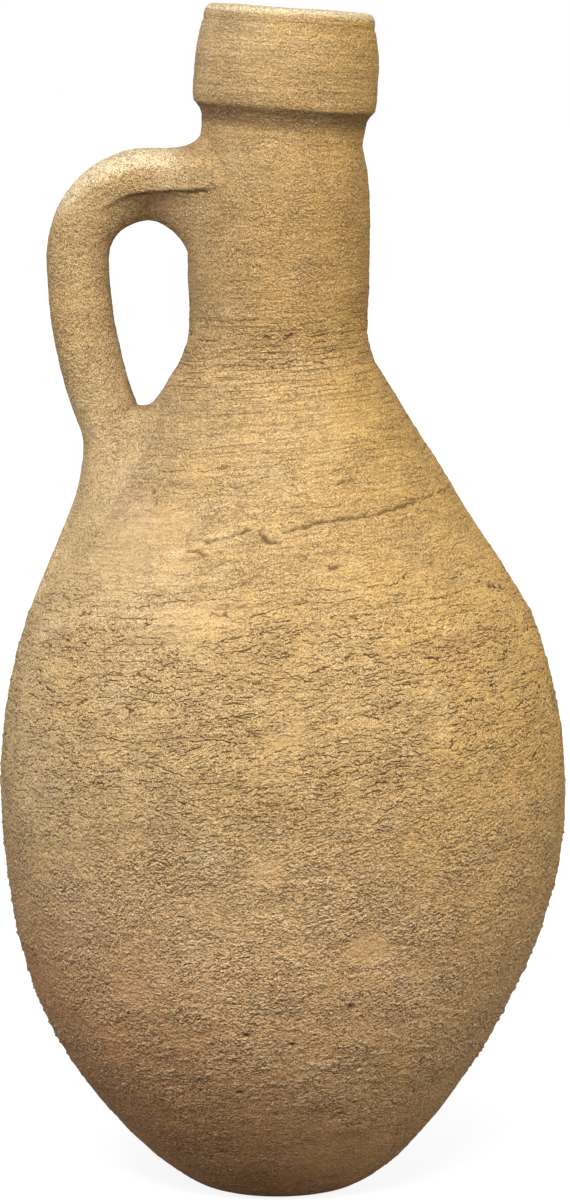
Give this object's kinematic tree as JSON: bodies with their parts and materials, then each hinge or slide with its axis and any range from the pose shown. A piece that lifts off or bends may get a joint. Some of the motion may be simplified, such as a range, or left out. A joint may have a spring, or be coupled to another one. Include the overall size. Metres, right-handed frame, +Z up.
{
  "type": "pithos",
  "caption": "Round-bellied clay storage jar with a conical shoulder, a narrow neck, a thick collar at the mouth and a loop handle from neck to shoulder.",
  "frame": {"origin": "middle of the flat foot, on the surface the jar stands on", "axes": "+Z up along the jar's axis, -X towards the handle, -Y towards the camera in the picture"},
  "size_m": [0.2861, 0.2862, 0.6],
  "materials": {
    "coarse_clay": "unglazed, matt and gritty"
  },
  "bodies": {
    "root": {"base_bowl": "coarse_clay", "lower_wall": "coarse_clay", "belly_wall": "coarse_clay", "shoulder": "coarse_clay", "neck": "coarse_clay", "rim_collar": "coarse_clay", "neck_luting": "coarse_clay", "handle": "coarse_clay", "handle_top_luting": "coarse_clay", "handle_foot_luting": "coarse_clay"}
  },
  "joints": []
}
